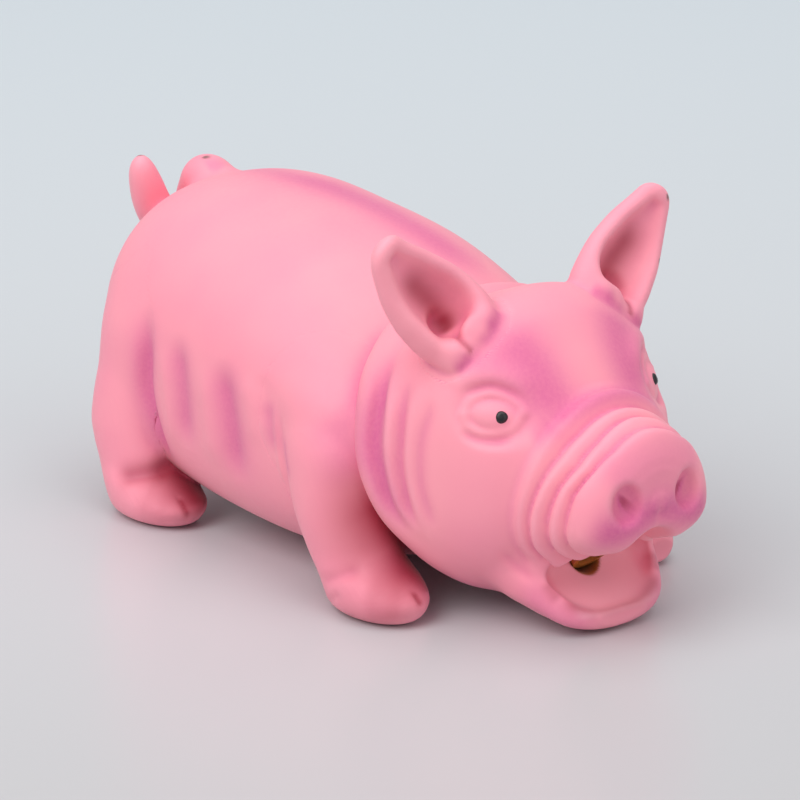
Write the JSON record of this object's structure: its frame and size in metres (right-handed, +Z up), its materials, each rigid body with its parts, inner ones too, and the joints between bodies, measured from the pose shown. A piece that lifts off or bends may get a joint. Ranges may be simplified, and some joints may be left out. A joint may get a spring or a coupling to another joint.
{
  "type": "squeezable pig dog toy",
  "caption": "Standing soft latex pig with upright ears, wrinkled snout, open mouth and curly tail; squeezing its back blows air through a reed that grunts.",
  "frame": {"origin": "on the floor, under the middle of the pig's bounding box", "axes": "+Z up, -Y the way the pig looks, +X the pig's left side"},
  "size_m": [0.1158, 0.2234, 0.111],
  "materials": {
    "latex_skin": "matt painted latex, light pink with airbrushed magenta in the folds",
    "pupil_paint": "satin black paint",
    "fibre_filling": "loose polyester fibre",
    "bare_latex": "unpainted amber latex",
    "voice_casing": "moulded ivory plastic",
    "reed_film": "clear plastic strip"
  },
  "bodies": {
    "torso": {"torso_skin": "latex_skin", "stuffing": "fibre_filling"},
    "back": {"back_panel": "latex_skin"},
    "head": {"head_skin": "latex_skin", "snout": "latex_skin", "right_pupil": "pupil_paint", "left_pupil": "pupil_paint", "throat_collar": "bare_latex", "grunter_nozzle_cap": "voice_casing", "grunter_barrel": "voice_casing", "grunter_rear_cap": "voice_casing", "reed_seat": "voice_casing", "reed_clip": "voice_casing"},
    "jaw": {"lower_jaw": "latex_skin"},
    "right_ear": {"right_ear": "latex_skin"},
    "left_ear": {"left_ear": "latex_skin"},
    "tail": {"tail": "latex_skin"},
    "right_front_leg": {"right_front_leg": "latex_skin"},
    "left_front_leg": {"left_front_leg": "latex_skin"},
    "right_rear_leg": {"right_rear_leg": "latex_skin"},
    "left_rear_leg": {"left_rear_leg": "latex_skin"},
    "reed": {"reed_tongue": "reed_film"}
  },
  "joints": [
    {"name": "back_press", "type": "slide", "parent": "torso", "child": "back", "axis": [0, 0, -1], "range_m": [0, 0.014], "stiffness_N_per_m": 700, "deforming": ["stuffing"]},
    {"name": "head_nod", "type": "hinge", "parent": "torso", "child": "head", "pos_m": [0, -0.057, 0.045], "axis": [-1, 0, 0], "range_deg": [-3, 8], "stiffness_Nm_per_rad": 1.2},
    {"name": "jaw_close", "type": "hinge", "parent": "head", "child": "jaw", "pos_m": [0, -0.069, 0.009], "axis": [-1, 0, 0], "range_deg": [-2, 10], "stiffness_Nm_per_rad": 0.15},
    {"name": "right_ear_bend", "type": "hinge", "parent": "head", "child": "right_ear", "pos_m": [-0.0268, -0.0612, 0.0805], "axis": [0.7674, 0.1039, 0.6327], "range_deg": [-15, 20], "stiffness_Nm_per_rad": 0.02},
    {"name": "left_ear_bend", "type": "hinge", "parent": "head", "child": "left_ear", "pos_m": [0.0268, -0.0612, 0.0805], "axis": [0.7674, -0.1039, -0.6327], "range_deg": [-15, 20], "stiffness_Nm_per_rad": 0.02},
    {"name": "tail_flex", "type": "hinge", "parent": "torso", "child": "tail", "pos_m": [0, 0.088, 0.086], "axis": [1, 0, 0], "range_deg": [-4, 10], "stiffness_Nm_per_rad": 0.03},
    {"name": "right_front_leg_flex", "type": "hinge", "parent": "torso", "child": "right_front_leg", "pos_m": [-0.0425, -0.023, 0.046], "axis": [1, 0, 0], "range_deg": [-2, 6], "stiffness_Nm_per_rad": 1.5},
    {"name": "right_rear_leg_flex", "type": "hinge", "parent": "torso", "child": "right_rear_leg", "pos_m": [-0.0405, 0.072, 0.046], "axis": [1, 0, 0], "range_deg": [-6, 6], "stiffness_Nm_per_rad": 1.5},
    {"name": "left_front_leg_flex", "type": "hinge", "parent": "torso", "child": "left_front_leg", "pos_m": [0.0425, -0.023, 0.046], "axis": [1, 0, 0], "range_deg": [-2, 6], "stiffness_Nm_per_rad": 1.5},
    {"name": "left_rear_leg_flex", "type": "hinge", "parent": "torso", "child": "left_rear_leg", "pos_m": [0.0405, 0.072, 0.046], "axis": [1, 0, 0], "range_deg": [-6, 6], "stiffness_Nm_per_rad": 1.5},
    {"name": "reed_beat", "type": "hinge", "parent": "head", "child": "reed", "pos_m": [0.00153, -0.06795, 0.03545], "axis": [0, 0.7071, -0.7071], "range_deg": [-3, 1.5], "stiffness_Nm_per_rad": 0.0001}
  ]
}
